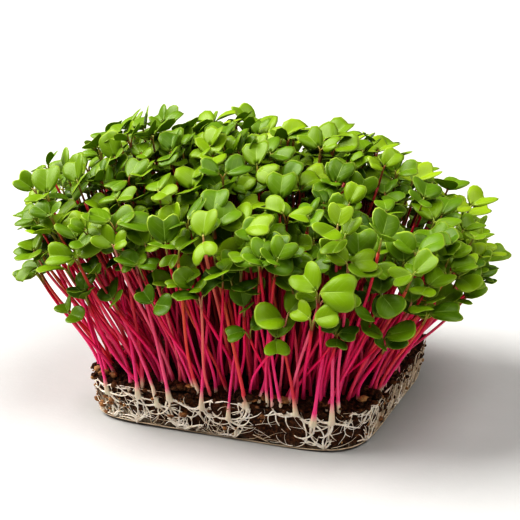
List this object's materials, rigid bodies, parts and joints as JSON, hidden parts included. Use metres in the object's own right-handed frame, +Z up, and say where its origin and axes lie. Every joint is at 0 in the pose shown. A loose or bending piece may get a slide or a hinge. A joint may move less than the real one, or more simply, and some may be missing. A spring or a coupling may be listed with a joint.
{
  "type": "radish microgreens",
  "caption": "Dense stand of pink-stemmed radish microgreens on a root-bound block of potting mix, lifted out of its tray and resting on its flat foot.",
  "frame": {"origin": "middle of the block's outline, on its flat underside", "axes": "+Z up; -Y is the front side that the main view shows; +X to the right"},
  "size_m": [0.1988, 0.1742, 0.1173],
  "materials": {
    "potting_mix": "moist, crumbly and matt",
    "roots": "fibrous, creamy white, slightly waxy",
    "bark": "dry and rough",
    "seedling": "leafy green with a soft gloss above, magenta stems below",
    "leaf": "smooth seed leaf with a soft gloss and pale veins",
    "stem": "smooth, juicy, slightly translucent"
  },
  "bodies": {
    "root": {"soil_block": "potting_mix", "root_mat": "roots", "bark_chip_1": "bark", "bark_chip_2": "bark", "bark_chip_3": "bark", "bark_chip_4": "bark", "bark_chip_5": "bark", "seedling_tuft_01": "seedling", "seedling_tuft_02": "seedling", "seedling_tuft_03": "seedling", "seedling_tuft_04": "seedling", "seedling_tuft_05": "seedling", "seedling_tuft_06": "seedling", "seedling_tuft_07": "seedling", "seedling_tuft_08": "seedling", "seedling_tuft_09": "seedling", "seedling_tuft_10": "seedling", "seedling_tuft_11": "seedling", "seedling_tuft_12": "seedling", "seedling_tuft_13": "seedling", "seedling_tuft_14": "seedling", "seedling_tuft_15": "seedling", "seedling_tuft_16": "seedling", "seedling_tuft_17": "seedling", "seedling_tuft_18": "seedling", "seedling_tuft_19": "seedling", "seedling_tuft_20": "seedling", "seedling_tuft_21": "seedling", "seedling_tuft_22": "seedling", "seedling_tuft_23": "seedling", "seedling_tuft_24": "seedling", "seedling_tuft_25": "seedling", "seedling_tuft_26": "seedling", "seedling_tuft_27": "seedling", "seedling_tuft_28": "seedling", "seedling_tuft_29": "seedling", "seedling_tuft_30": "seedling", "seedling_tuft_31": "seedling", "seedling_tuft_32": "seedling", "seedling_tuft_33": "seedling", "seedling_tuft_34": "seedling", "seedling_tuft_35": "seedling", "seedling_tuft_36": "seedling", "seedling_tuft_37": "seedling", "seedling_tuft_38": "seedling", "seedling_tuft_39": "seedling"}
  },
  "joints": []
}
